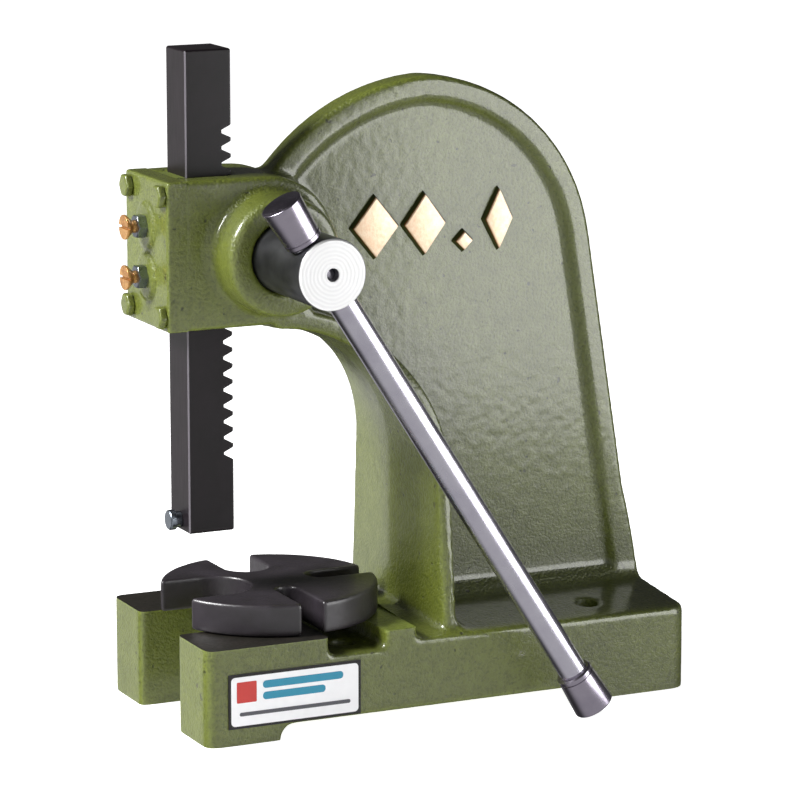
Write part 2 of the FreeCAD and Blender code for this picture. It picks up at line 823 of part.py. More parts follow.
def make_pinion_shaft():
    """Shaft with the pinion's teeth cut into it, a smaller far journal and the lever's cross hole."""
    body = new_body("pinion_shaft", ("0", "hub_line", "hub_level"))
    far_end = "-(far_boss_face + end_play)"
    turned = new_sketch(body, "Turned", "XZ")
    outline(turned, [
        (far_end, "keeper_radius + shaft_gap"),
        (far_end, "journal_radius - shaft_chamfer"),
        (far_end + " + shaft_chamfer", "journal_radius"),
        ("-shaft_shoulder", "journal_radius"),
        ("-shaft_shoulder", "shaft_radius"),
        ("shaft_end - shaft_chamfer", "shaft_radius"),
        ("shaft_end", "shaft_radius - shaft_chamfer"),
        ("shaft_end", "centre_hole_radius"),
        ("shaft_end - centre_hole_depth", "centre_hole_radius"),
        ("shaft_end - centre_hole_depth", "0"),
        (far_end + " + keeper_depth", "0"),
        (far_end + " + keeper_depth", "keeper_radius + shaft_gap"),
    ])
    turn(body, "Revolution", turned, "H_Axis")

    gap = new_sketch(body, "ToothGap", "YZ", "-shaft_shoulder")
    draw_tooth_gap(gap)
    cut = extrude(body, "Pocket", gap, "shaft_shoulder + teeth_end", reverse=True)
    teeth = body.newObject("PartDesign::PolarPattern", "PinionTeeth")
    teeth.Originals = [cut]
    teeth.Axis = (gap, ["N_Axis"])
    teeth.Angle = 360
    bind(teeth, "Occurrences", "gear_teeth")
    body.Tip = teeth
    doc.recompute()

    hole = new_sketch(body, "LeverHole", "XY", "0", (1, 0, 0), "90 - lever_fall")
    circle(hole, "lever_station", "0", "lever_radius + lever_gap")
    extrude(body, "Pocket", hole, "2 * shaft_radius + 2", both=True)
    return body


def make_ring(label, outer, inner, near, far):
    """Plain ring on the pinion's axis, from one distance out on the far side to another."""
    body = new_body(label, ("0", "hub_line", "hub_level"))
    section = new_sketch(body, "Section", "XZ")
    rectangle(section, "-(" + far + ")", "-(" + near + ")", inner, outer)
    turn(body, "Revolution", section, "H_Axis")
    return body


def make_keeper_bolt():
    """Bolt that holds the thrust washer to the shaft's far end."""
    bolt = make_bolt("KeeperBolt", "keeper_across", "keeper_head", "keeper_radius",
                     "keeper_depth + washer_thick")
    bolt.Label = "keeper_bolt"
    seat = "-(far_boss_face + end_play + washer_thick + spring_washer_thick)"
    bolt.Placement = FreeCAD.Placement(
        FreeCAD.Vector(0, 0, 0), FreeCAD.Rotation(FreeCAD.Vector(0, 1, 0), -90))
    for letter, text in zip("xyz", (seat, "hub_line", "hub_level")):
        bind(bolt, "Placement.Base." + letter, text)
    return bolt


LEVER_PLACE = ("lever_station", "hub_line", "hub_level")
LEVER_LEAN = "90 - lever_fall"


def make_lever_bar():
    """Round bar with a spigot at each end for the knobs."""
    body = new_body("lever_bar", LEVER_PLACE, LEVER_LEAN)
    turned = new_sketch(body, "Turned", "XZ")
    outline(turned, [
        ("0", "-lever_down - spigot_length"),
        ("spigot_radius", "-lever_down - spigot_length"),
        ("spigot_radius", "-lever_down"),
        ("lever_radius", "-lever_down"),
        ("lever_radius", "lever_up"),
        ("spigot_radius", "lever_up"),
        ("spigot_radius", "lever_up + spigot_length"),
        ("0", "lever_up + spigot_length"),
    ])
    turn(body, "Revolution", turned)
    return body


def make_lever_knob(position):
    """Tapered knob screwed on one end of the lever bar."""
    body = new_body("lever_knob_" + position, LEVER_PLACE, LEVER_LEAN)
    turned = new_sketch(body, "Turned", "XZ")
    start, sign = ("lever_up", "") if position == "upper" else ("-lever_down", "-")
    profile = [
        ("spigot_radius + knob_fit", "0"),
        ("knob_inner_radius - knob_chamfer", "0"),
        ("knob_inner_radius", "knob_chamfer"),
        ("knob_inner_radius", "knob_groove_start"),
        ("knob_inner_radius - knob_groove_depth", "knob_groove_start"),
        ("knob_inner_radius - knob_groove_depth", "knob_groove_start + knob_groove_width"),
        ("knob_inner_radius", "knob_groove_start + knob_groove_width"),
        ("knob_outer_radius", "knob_length - knob_chamfer"),
        ("knob_outer_radius - knob_chamfer", "knob_length"),
        ("0", "knob_length"),
        ("0", "spigot_length + 1"),
        ("spigot_radius + knob_fit", "spigot_length + 1"),
    ]
    outline(turned, [(across, start + " + " + sign + "1 * (" + up + ")") for across, up in profile])
    turn(body, "Revolution", turned)
    return body


def make_table_plate():
    """Round plate with four open slots, each a different width, and a blind hole for its pin."""
    body = new_body("table_plate", ("0", "table_line", "pad_top"))
    disc = new_sketch(body, "Disc", "XY")
    circle(disc, "0", "0", "table_radius")
    plate = extrude(body, "Pad", disc, "table_thick")
    rims = edges_where(plate, lambda edge, middle: edge.Closed)
    dress(body, "Chamfer", plate, rims, "table_chamfer")
    for turn_angle, side in (("0", "front"), ("90", "right"), ("180", "rear"), ("270", "left")):
        slot = new_sketch(body, side.capitalize() + "Slot", "XY", "0", spin=turn_angle)
        half = "slot_" + side + "_half"
        reach = "slot_" + side + "_reach"
        outline(slot, [
            ("-" + half, "-table_radius - 2"),
            (half, "-table_radius - 2"),
            (half, "-" + reach),
            ("0", half + " - " + reach, half),
            ("-" + half, "-" + reach, half),
        ])
        extrude(body, "Pocket", slot, "table_thick + 1", reverse=True)
    seat = new_sketch(body, "PinHole", "XY")
    circle(seat, "0", "0", "pin_radius + knob_fit")
    extrude(body, "Pocket", seat, "pin_depth", reverse=True)
    return body


def make_table_pin():
    """Pin pressed into the plate's underside, on which the plate turns in the base."""
    body = new_body("table_pin", ("0", "table_line", "pad_top + pin_depth - pin_length"))
    section = new_sketch(body, "Section", "XY")
    circle(section, "0", "0", "pin_radius")
    pin = extrude(body, "Pad", section, "pin_length")
    rims = edges_where(pin, lambda edge, middle: edge.Closed)
    dress(body, "Chamfer", pin, rims, "knob_chamfer")
    return body


def make_name_plate():
    """Thin plate stuck on the right-hand side of the base."""
    body = new_body("name_plate")
    blank = new_sketch(body, "Blank", "YZ", "base_half")
    rectangle(blank, "-plate_front", "plate_rear", "plate_bottom", "plate_top")
    extrude(body, "Pad", blank, "plate_thick")
    return body


pieces = [
    make_frame(),
    make_front_cover(),
    make_cover_bolts(),
    make_gib_strip(),
    make_ram(),
    make_clamp_screw(),
    make_pinion_shaft(),
    make_ring("thrust_washer", "washer_radius", "keeper_radius + shaft_gap",
              "far_boss_face + end_play", "far_boss_face + end_play + washer_thick"),
    make_ring("spring_washer", "spring_washer_radius", "keeper_radius + shaft_gap",
              "far_boss_face + end_play + washer_thick",
              "far_boss_face + end_play + washer_thick + spring_washer_thick"),
    make_keeper_bolt(),
    make_lever_bar(),
    make_table_plate(),
    make_table_pin(),
    make_name_plate(),
]
for position in ("upper", "lower"):
    pieces.append(make_adjusting_screw(position))
    pieces.append(make_lock_nut(position))
    pieces.append(make_lever_knob(position))

doc.recompute()
for item in doc.Objects:
    if "Invalid" in item.State or "Error" in item.State:
        raise RuntimeError("failed: " + item.Name)
for piece in pieces:
    if piece.Shape.isNull() or not piece.Shape.isValid():
        raise RuntimeError("bad shape: " + piece.Label)
for piece in pieces:
    piece.Shape.exportStep("parts/" + piece.Label + ".step")
    print(piece.Label, len(piece.Shape.Solids), round(piece.Shape.Volume))
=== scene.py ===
import json
import math

import bmesh
import bpy
from mathutils import Matrix, Vector


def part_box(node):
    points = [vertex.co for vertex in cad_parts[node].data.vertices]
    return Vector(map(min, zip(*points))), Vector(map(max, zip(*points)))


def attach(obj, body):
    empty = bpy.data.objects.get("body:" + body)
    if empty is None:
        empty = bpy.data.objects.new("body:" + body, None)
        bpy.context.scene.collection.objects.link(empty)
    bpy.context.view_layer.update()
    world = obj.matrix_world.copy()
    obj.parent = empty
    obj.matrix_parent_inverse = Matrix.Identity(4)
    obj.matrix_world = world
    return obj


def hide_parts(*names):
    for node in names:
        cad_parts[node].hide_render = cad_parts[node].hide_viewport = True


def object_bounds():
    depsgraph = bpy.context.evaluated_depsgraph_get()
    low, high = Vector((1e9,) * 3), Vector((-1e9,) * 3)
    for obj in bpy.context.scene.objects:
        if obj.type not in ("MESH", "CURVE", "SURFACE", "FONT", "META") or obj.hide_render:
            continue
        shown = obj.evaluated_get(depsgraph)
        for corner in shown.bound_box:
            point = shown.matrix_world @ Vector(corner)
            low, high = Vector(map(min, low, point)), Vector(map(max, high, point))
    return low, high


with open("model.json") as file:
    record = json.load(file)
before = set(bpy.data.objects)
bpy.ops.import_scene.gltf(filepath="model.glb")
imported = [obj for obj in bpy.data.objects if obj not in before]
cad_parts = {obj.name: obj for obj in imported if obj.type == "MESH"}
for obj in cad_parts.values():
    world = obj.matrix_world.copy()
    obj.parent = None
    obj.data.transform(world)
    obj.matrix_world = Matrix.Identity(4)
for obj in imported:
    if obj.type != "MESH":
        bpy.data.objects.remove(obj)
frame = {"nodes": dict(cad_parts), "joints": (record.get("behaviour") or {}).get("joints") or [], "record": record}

CAD_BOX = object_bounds()
JOINTS = {joint["name"]: joint for joint in frame["joints"]}
SHAFT_AXIS = Vector(JOINTS["pinion_turn"]["pos_m"])
TABLE_AXIS = Vector(JOINTS["table_turn"]["pos_m"])
SKIN_GRAIN = 0.004
RING_WOBBLE = 0.0012
RING_TURNS = 3100.0


# ---------------------------------------------------------------- pieces and meshes

def add_piece(name, mesh, body, material, replaced=()):
    """An object for a mesh that rides on a CAD body."""
    piece = bpy.data.objects.new(name, mesh)
    bpy.context.scene.collection.objects.link(piece)
    mesh.materials.clear()
    mesh.materials.append(material)
    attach(piece, body)
    if replaced:
        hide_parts(*replaced)
    return piece


def mesh_from(shape, name):
    """A mesh from a bmesh, which is freed."""
    bmesh.ops.recalc_face_normals(shape, faces=shape.faces)
    mesh = bpy.data.meshes.new(name)
    shape.to_mesh(mesh)
    shape.free()
    return mesh


def prism(outline, low, high, axis="X", foot=None):
    """Prism on an outline of (across, up) points between two stations on an axis. It is straight,
    or tapers from an outline at its foot."""
    order = {"X": (2, 0, 1), "Y": (0, 2, 1), "Z": (0, 1, 2)}[axis]
    shape = bmesh.new()
    rings = []
    for station, ring in ((low, foot or outline), (high, outline)):
        points = [(across, up, station) for across, up in ring]
        rings.append([shape.verts.new([point[index] for index in order]) for point in points])
    shape.faces.new(rings[0])
    shape.faces.new(rings[1])
    count = len(outline)
    for index in range(count):
        after = (index + 1) % count
        shape.faces.new((rings[0][index], rings[0][after], rings[1][after], rings[1][index]))
    return mesh_from(shape, "prism")


def block(low, high):
    """Box between two corners."""
    corners = [(low[0], low[1]), (high[0], low[1]), (high[0], high[1]), (low[0], high[1])]
    return prism(corners, low[2], high[2], "Z")


def lathe(profile, count=120):
    """Piece turned on the Z axis, from the (radius, height) points of a closed outline."""
    shape = bmesh.new()
    rings = []
    for radius, height in profile:
        if radius == 0.0:
            rings.append([shape.verts.new((0.0, 0.0, height))])
            continue
        rings.append([shape.verts.new((across, up, height))
                      for across, up in ring_points((0.0, 0.0), radius, count)])
    for ring, above in zip(rings, rings[1:] + rings[:1]):
        if len(ring) == len(above) == 1:
            continue
        for index in range(count):
            after = (index + 1) % count
            corners = [ring[index % len(ring)], ring[after % len(ring)],
                       above[after % len(above)], above[index % len(above)]]
            shape.faces.new(list(dict.fromkeys(corners)))
    return mesh_from(shape, "turned")


def ring_points(centre, radius, count=96):
    """Points round a circle."""
    turns = [2 * math.pi * index / count for index in range(count)]
    return [(centre[0] + radius * math.cos(turn), centre[1] + radius * math.sin(turn)) for turn in turns]


def settle(piece):
    """Applies every modifier of an object."""
    graph = bpy.context.evaluated_depsgraph_get()
    mesh = bpy.data.meshes.new_from_object(piece.evaluated_get(graph))
    piece.modifiers.clear()
    piece.data = mesh
    return mesh


def temporary(mesh):
    """An object that only serves to run modifiers."""
    piece = bpy.data.objects.new("working", mesh)
    bpy.context.scene.collection.objects.link(piece)
    return piece


def swell(piece, cell, amount):
    """Moves the surface outwards, or inwards for a negative amount, and meshes it afresh."""
    if amount:
        move = piece.modifiers.new("Swell", "DISPLACE")
        move.mid_level = 0.0
        move.strength = amount
    fresh = piece.modifiers.new("Fresh", "REMESH")
    fresh.mode = "VOXEL"
    fresh.voxel_size = cell
    fresh.use_smooth_shade = True


def subtract(piece, tools):
    """Cuts other objects out of a piece."""
    for index, tool in enumerate(tools):
        cut = piece.modifiers.new("Cut%d" % index, "BOOLEAN")
        cut.operation = "DIFFERENCE"
        cut.solver = "MANIFOLD"
        cut.object = tool
    return settle(piece)


def welded_copy(node):
    """A CAD solid's mesh as one closed surface."""
    shape = bmesh.new()
    shape.from_mesh(frame["nodes"][node].data)
    bmesh.ops.remove_doubles(shape, verts=shape.verts, dist=1e-6)
    return mesh_from(shape, node + "_copy")


def cast_mesh(node, cell, fillet, rounding, cutters=(), skin=0.0, stretch=(), broad=0.0, soft=()):
    """A CAD solid as a casting. Faces to be machined are first moved out by an allowance. Inside
    corners are filled, broadly in the soft regions, outside edges are rounded, and the skin is
    faintly uneven. Then the cutters machine it, which leaves crisp edges."""
    mesh = welded_copy(node)
    for axis, level, shift in stretch:
        for vertex in mesh.vertices:
            if abs(vertex.co[axis] - level) < 1e-5:
                vertex.co[axis] += shift
    solid = temporary(mesh)
    piece = temporary(mesh.copy())
    swell(piece, cell, 0.0)
    if broad:
        swell(piece, cell, broad)
        swell(piece, cell, -broad)
        settle(piece)
        regions = [temporary(block(low, high)) for low, high in soft]
        crisp = temporary(block((-1.0, -1.0, -1.0), (1.0, 1.0, 1.0)))
        subtract(crisp, regions + [solid])
        subtract(piece, [crisp])
        for region in regions + [crisp]:
            bpy.data.objects.remove(region)
        swell(piece, cell, 0.0)
    for amount in (fillet, -fillet, -rounding, rounding):
        swell(piece, cell, amount)
    smooth = piece.modifiers.new("Smooth", "SMOOTH")
    smooth.factor = 0.5
    smooth.iterations = 2
    clouds = bpy.data.textures.new(node + "_skin", "CLOUDS")
    clouds.noise_scale = SKIN_GRAIN
    peel = piece.modifiers.new("Skin", "DISPLACE")
    peel.texture = clouds
    peel.texture_coords = "LOCAL"
    peel.mid_level = 0.5
    peel.strength = skin
    settle(piece)
    tools = [temporary(cutter) for cutter in cutters]
    mesh = subtract(piece, tools)
    for item in tools + [piece, solid]:
        bpy.data.objects.remove(item)
    mesh.shade_smooth()
    mesh.set_sharp_from_angle(angle=math.radians(50))
    return mesh


def dressed_mesh(node, bevel):
    """A CAD solid with its patches welded, its flat facets joined and its edges slightly broken."""
    shape = bmesh.new()
    shape.from_mesh(welded_copy(node))
    bmesh.ops.dissolve_limit(shape, angle_limit=math.radians(0.8), verts=shape.verts,
                             edges=shape.edges, use_dissolve_boundaries=False)
    for layer in list(shape.loops.layers.uv.values()):
        shape.loops.layers.uv.remove(layer)
    mesh = mesh_from(shape, node + "_dressed")
    for name in ("custom_normal", "sharp_face", "sharp_edge"):
        if name in mesh.attributes:
            mesh.attributes.remove(mesh.attributes[name])
    mesh.shade_smooth()
    piece = temporary(mesh)
    edges = piece.modifiers.new("Bevel", "BEVEL")
    edges.width = bevel
    edges.segments = 2
    edges.limit_method = "ANGLE"
    edges.angle_limit = math.radians(25)
    edges.use_clamp_overlap = False
    even = piece.modifiers.new("Weighted", "WEIGHTED_NORMAL")
    even.keep_sharp = True
    mesh = settle(piece)
    bpy.data.objects.remove(piece)
    return mesh


# ---------------------------------------------------------------- materials

class Nodes:
    """Short names for building a node tree."""

    def __init__(self, name):
        self.material = bpy.data.materials.new(name)
        self.material.use_nodes = True
        self.tree = self.material.node_tree
        self.shader = self.tree.nodes["Principled BSDF"]
        self.place = self.add("ShaderNodeTexCoord").outputs["Object"]

    def add(self, kind, values=(), **settings):
        """A node. Each value is a constant or the output of another node."""
        item = self.tree.nodes.new(kind)
        for key, value in settings.items():
            setattr(item, key, value)
        for key, value in dict(values).items():
            if isinstance(value, bpy.types.NodeSocket):
                self.tree.links.new(value, item.inputs[key])
            else:
                item.inputs[key].default_value = value
        return item

    def noise(self, scale, detail=2.0, roughness=0.5, vector=None):
        """Noise from 0 to 1, with scale cells to the metre."""
        item = self.add("ShaderNodeTexNoise", {
            "Vector": vector or self.place, "Scale": scale, "Detail": detail, "Roughness": roughness})
        return item.outputs["Fac"]

    def ramp(self, value, low, high, out_low=0.0, out_high=1.0):
        """A value taken from one range to another, and held at its ends."""
        item = self.add("ShaderNodeMapRange", {
            "Value": value, "From Min": low, "From Max": high, "To Min": out_low, "To Max": out_high})
        return item.outputs["Result"]

    def maths(self, operation, first, second=0.0):
        """One sum."""
        item = self.add("ShaderNodeMath", {0: first, 1: second}, operation=operation)
        return item.outputs[0]

    def mix(self, amount, first, second):
        """Blend of two colours."""
        item = self.add("ShaderNodeMix", data_type="RGBA")
        for index, value in ((0, amount), (6, first), (7, second)):
            if isinstance(value, bpy.types.NodeSocket):
                self.tree.links.new(value, item.inputs[index])
            else:
                item.inputs[index].default_value = value
        return item.outputs[2]

    def split(self):
        """The x, y and z of the place on the piece."""
        item = self.add("ShaderNodeSeparateXYZ", {0: self.place})
        return item.outputs

    def bump(self, height, distance, strength=1.0):
        """Normal of a surface raised by height times distance."""
        values = {"Height": height, "Distance": distance, "Strength": strength}
        return self.add("ShaderNodeBump", values).outputs["Normal"]

    def set(self, **values):
        """Gives the shader its values and returns the finished material."""
        for key, value in values.items():
            socket = self.shader.inputs[key.replace("_", " ")]
            if isinstance(value, bpy.types.NodeSocket):
                self.tree.links.new(value, socket)
            else:
                socket.default_value = value
        return self.material


def colour(red, green, blue):
    """Linear colour from the usual 0 to 255 display values."""
    linear = []
    for value in (red, green, blue):
        share = value / 255
        linear.append(share / 12.92 if share <= 0.04045 else ((share + 0.055) / 1.055) ** 2.4)
    return (*linear, 1.0)


def enamel(name):
    """Olive-green enamel over a rough casting: a leathery skin, rare pits, a wandering gloss, a painted highlight
    along outside edges and painted shade in inside corners.
    """
    n = Nodes(name)
    broad = n.noise(14, 3)
    middle = n.noise(150, 4, 0.65)
    leather = n.ramp(n.noise(620, 2.5, 0.6), 0.32, 0.68)
    pits = n.ramp(n.noise(260, 1.0, 0.4), 0.74, 0.79)
    body = n.mix(n.ramp(broad, 0.35, 0.65), colour(90, 98, 30), colour(101, 110, 37))
    body = n.mix(n.ramp(middle, 0.35, 0.75, 0.0, 0.45), body, colour(66, 76, 16))
    edge = n.add("ShaderNodeNewGeometry").outputs["Pointiness"]
    # Painted highlight: lighter green along outside edges, where rounded edges catch light.
    body = n.mix(n.ramp(edge, 0.51, 0.58, 0.0, 0.7), body, colour(128, 142, 60))
    # Painted shade: darker green in inside corners and creases.
    body = n.mix(n.ramp(edge, 0.495, 0.455, 0.0, 0.85), body, colour(36, 42, 8))
    body = n.mix(n.ramp(leather, 0.55, 0.0, 0.0, 0.4), body, colour(44, 52, 10))
    body = n.mix(n.ramp(pits, 0.0, 1.0, 0.0, 0.7), body, colour(26, 29, 10))
    rough = n.ramp(middle, 0.3, 0.7, 0.40, 0.54)
    relief = n.maths("MULTIPLY", leather, 0.30)
    relief = n.maths("ADD", relief, n.maths("MULTIPLY", n.noise(60, 1.0), 0.35))
    relief = n.maths("SUBTRACT", relief, n.maths("MULTIPLY", pits, 0.3))
    return n.set(Base_Color=body, Roughness=rough, Normal=n.bump(relief, 0.001, 1.0),
                 IOR=1.5, Coat_Weight=0.85, Coat_IOR=1.55, Coat_Roughness=0.17)


def machined_metal(name, base, dark, roughness, metallic, grain=(1.0, 1.0, 1.0), grain_scale=900.0,
                   grain_depth=0.00004, worn=None, patch_scale=60, gloss=1.5):
    """Metal with fine tool marks, patches of darker oxide and, along upright corners, a painted highlight."""
    n = Nodes(name)
    stretched = n.add("ShaderNodeMapping", {"Vector": n.place, "Scale": grain}).outputs[0]
    marks = n.noise(grain_scale, 3, 0.6, stretched)
    patches = n.noise(patch_scale, 4, 0.6)
    body = n.mix(n.ramp(patches, 0.35, 0.7), base, dark)
    if worn:
        facing = n.add("ShaderNodeTexCoord").outputs["Normal"]
        across, along = n.add("ShaderNodeSeparateXYZ", {0: facing}).outputs[:2]
        corner = n.maths("ABSOLUTE", n.maths("MULTIPLY", across, along))
        # Painted highlight: a lighter colour along upright corners, where edges catch light.
        body = n.mix(n.ramp(corner, 0.25, 0.45, 0.0, 0.8), body, worn)
    rough = n.ramp(marks, 0.3, 0.7, roughness * 0.85, roughness * 1.2)
    return n.set(Base_Color=body, Roughness=rough, Metallic=metallic, IOR=gloss,
                 Normal=n.bump(marks, grain_depth, 0.5))


def shaft_metal(name, face):
    """Ground steel, darkened along the shaft, with turning rings on the bright end face."""
    n = Nodes(name)
    x, y, z = n.split()
    across = n.maths("SUBTRACT", y, SHAFT_AXIS.y)
    up = n.maths("SUBTRACT", z, SHAFT_AXIS.z)
    reach = n.maths("SQRT", n.maths("ADD", n.maths("MULTIPLY", across, across),
                                    n.maths("MULTIPLY", up, up)))
    wobble = n.maths("MULTIPLY", n.noise(160, 2), RING_WOBBLE)
    rings = n.maths("SINE", n.maths("MULTIPLY", n.maths("ADD", reach, wobble), RING_TURNS))
    fade = n.noise(90, 2)
    on_face = n.ramp(x, face - 0.0012, face - 0.0006)
    marks = n.noise(700, 3, 0.6)
    side = n.mix(n.ramp(n.noise(70, 3), 0.35, 0.7), colour(84, 84, 88), colour(56, 56, 60))
    end = n.mix(n.ramp(rings, -1.0, 1.0), colour(240, 240, 240), colour(228, 228, 229))
    end = n.mix(n.ramp(fade, 0.35, 0.65, 0.0, 0.35), end, colour(232, 232, 230))
    height = n.mix(on_face, marks, rings)
    rough = n.ramp(on_face, 0.0, 1.0, 0.36, 0.34)
    metal = n.ramp(on_face, 0.0, 1.0, 0.85, 0.25)
    return n.set(Base_Color=n.mix(on_face, side, end), Metallic=metal, Roughness=rough,
                 Normal=n.bump(height, 0.00002, 0.5))


def gilt(name, face):
    """Cream-gold paint on the raised faces, a brown fringe under them and green flanks painted dark as painted
    shade at the roots.
    """
    n = Nodes(name)
    x = n.split()[0]
    speckle = n.noise(500, 3, 0.6)
    wander = n.maths("MULTIPLY", n.noise(350, 2), 0.0005)
    level = n.maths("ADD", x, wander)
    top = n.mix(n.ramp(speckle, 0.3, 0.7), colour(255, 232, 204), colour(244, 208, 170))
    fringe = n.mix(n.ramp(speckle, 0.3, 0.7), colour(150, 92, 42), colour(104, 62, 26))
    # Painted shade: the lower flanks are darker olive than the enamel, for the shadow round each mark's root.
    body = n.mix(n.ramp(level, face - 0.0011, face - 0.0008), colour(50, 56, 18), fringe)
    body = n.mix(n.ramp(level, face - 0.0005, face - 0.0002), body, top)
    sheen = n.ramp(level, face - 0.0005, face - 0.0002, 0.0, 0.3)
    return n.set(Base_Color=body, Roughness=0.42, Metallic=sheen, Normal=n.bump(speckle, 0.0003, 0.4))


def film(name, shade):
    """Printed plastic film with a faint unevenness."""
    n = Nodes(name)
    grain = n.noise(300, 2)
    darker = tuple(0.93 * value for value in shade[:3]) + (1.0,)
    return n.set(Base_Color=n.mix(grain, shade, darker), Normal=n.bump(grain, 0.00002, 0.3),
                 Roughness=0.32)


SHAFT_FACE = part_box("pinion_shaft")[1].x
GREEN = enamel("green_enamel")
# The ram's upright corners get a painted highlight in a pale violet-grey.
RAM_STEEL = machined_metal("ram_steel", colour(26, 20, 24), colour(20, 16, 18), 0.34, 0.0,
                           (1.0, 1.0, 0.03), worn=colour(110, 106, 112), grain_scale=1500,
                           grain_depth=0.00001, gloss=1.35)
TABLE_IRON = machined_metal("table_iron", colour(50, 45, 51), colour(36, 32, 35), 0.36, 0.0,
                            grain_depth=0.00005, grain_scale=700, gloss=1.7)
PAD_IRON = machined_metal("pad_iron", colour(40, 36, 31), colour(26, 25, 20), 0.42, 0.0,
                          grain_depth=0.00005, grain_scale=500, patch_scale=120, gloss=1.5)
SHAFT_STEEL = shaft_metal("shaft_steel", SHAFT_FACE)
CHROME = machined_metal("chrome", colour(214, 211, 222), colour(200, 196, 210), 0.25, 1.0,
                        grain_scale=40, grain_depth=0.000004)
KNOB_STEEL = machined_metal("knob_steel", colour(176, 169, 182), colour(160, 153, 168), 0.24, 1.0,
                            grain_scale=40, grain_depth=0.000004)
ZINC = machined_metal("zinc", colour(166, 174, 184), colour(130, 138, 148), 0.3, 1.0)
BRASS = machined_metal("brass", colour(222, 172, 108), colour(170, 112, 60), 0.3, 0.7,
                       patch_scale=200)

DRESSED = {
    "ram": (RAM_STEEL, "dark_steel", 0.00025),
    "clamp_screw": (ZINC, "zinc", 0.0002),
    "pinion_shaft": (SHAFT_STEEL, "shaft_steel", 0.0002),
    "thrust_washer": (ZINC, "zinc", 0.0003),
    "spring_washer": (ZINC, "zinc", 0.0002),
    "keeper_bolt": (ZINC, "zinc", 0.0002),
    "adjusting_screw_upper": (BRASS, "brass", 0.0002),
    "adjusting_screw_lower": (BRASS, "brass", 0.0002),
    "lock_nut_upper": (ZINC, "zinc", 0.0002),
    "lock_nut_lower": (ZINC, "zinc", 0.0002),
}
BODY_OF = {node: body for body, members in frame["record"]["behaviour"]["bodies"].items()
           for node in members}
for node, (material, slot, bevel) in DRESSED.items():
    add_piece(node + "_dressed", dressed_mesh(node, bevel), BODY_OF[node], material, [node])
for node, material in (("gib_strip", GREEN), ("table_pin", SHAFT_STEEL)):
    frame["nodes"][node].material_slots[0].material = material


# ---------------------------------------------------------------- the lever

# The bar's ends are measured along it from the shaft's axis. The knobs' radii are at the bar and
# at the free end, and the groove is its start, its end and its depth.
LEVER_STATION = 0.0953
BAR_RADIUS = 0.0075
BAR_ENDS = (-0.2628, 0.0183)
SPIGOT_RADIUS, SPIGOT_LENGTH = 0.005, 0.015
KNOB_RADII = (0.0097, 0.01085)
KNOB_LENGTH = 0.0235
KNOB_EDGE = 0.0008
KNOB_GROOVE = (0.0026, 0.0035, 0.0005)


def bar_profile():
    """Round bar with a spigot at each end."""
    low, high = BAR_ENDS
    return [(0.0, low - SPIGOT_LENGTH), (SPIGOT_RADIUS, low - SPIGOT_LENGTH), (SPIGOT_RADIUS, low),
            (BAR_RADIUS, low), (BAR_RADIUS, high), (SPIGOT_RADIUS, high),
            (SPIGOT_RADIUS, high + SPIGOT_LENGTH), (0.0, high + SPIGOT_LENGTH)]


def knob_profile(steps=5):
    """Knob that widens outwards, with a groove near the bar and rounded rims."""
    inner, outer = KNOB_RADII
    start, finish, depth = KNOB_GROOVE
    socket = SPIGOT_RADIUS + 0.00002
    points = [(socket, 0.0), (inner - KNOB_EDGE, 0.0), (inner, KNOB_EDGE), (inner, start),
              (inner - depth, start), (inner - depth, finish), (inner, finish)]
    for step in range(steps + 1):
        turn = math.pi / 2 * step / steps
        points.append((outer - KNOB_EDGE * (1 - math.cos(turn)),
                       KNOB_LENGTH - KNOB_EDGE * (1 - math.sin(turn))))
    return points + [(0.0, KNOB_LENGTH), (0.0, SPIGOT_LENGTH + 0.001), (socket, SPIGOT_LENGTH + 0.001)]


def add_lever_piece(node, profile, flipped, start, material):
    """A turned piece laid along the lever, at a distance from the shaft's axis."""
    along = Vector(JOINTS["lever_slide"]["axis"]).normalized()
    centre = Vector((LEVER_STATION, SHAFT_AXIS.y, SHAFT_AXIS.z))
    mesh = lathe(profile)
    out = -along if flipped else along
    turn = out.to_track_quat("Z", "X").to_matrix().to_4x4()
    mesh.transform(Matrix.Translation(centre + along * start) @ turn)
    mesh.shade_smooth()
    mesh.set_sharp_from_angle(angle=math.radians(30))
    add_piece(node + "_turned", mesh, "lever", material, [node])


add_lever_piece("lever_bar", bar_profile(), False, 0.0, CHROME)
add_lever_piece("lever_knob_upper", knob_profile(), False, BAR_ENDS[1], KNOB_STEEL)
add_lever_piece("lever_knob_lower", knob_profile(), True, BAR_ENDS[0], KNOB_STEEL)


# ---------------------------------------------------------------- the casting

# The pads under the table are machined back to PAD_REAR, and bare metal back to BARE_PAD_REAR.
PAD_REAR = 0.093
BARE_PAD_REAR = 0.050
PAD_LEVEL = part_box("table_plate")[0].z - 0.0003
ALLOWANCE = 0.003
# Round the web's foot, between these levels and behind FOOT_FRONT, the broad fillet is kept.
FOOT_FRONT, FOOT_LOW, FOOT_HIGH = 0.1195, 0.044, 0.0547
BORE_RADIUS, JOURNAL_RADIUS, PIN_RADIUS, SCREW_HOLE_RADIUS = 0.0184, 0.0112, 0.0062, 0.0034
BORE_START, JOURNAL_END = -0.0137, -0.012


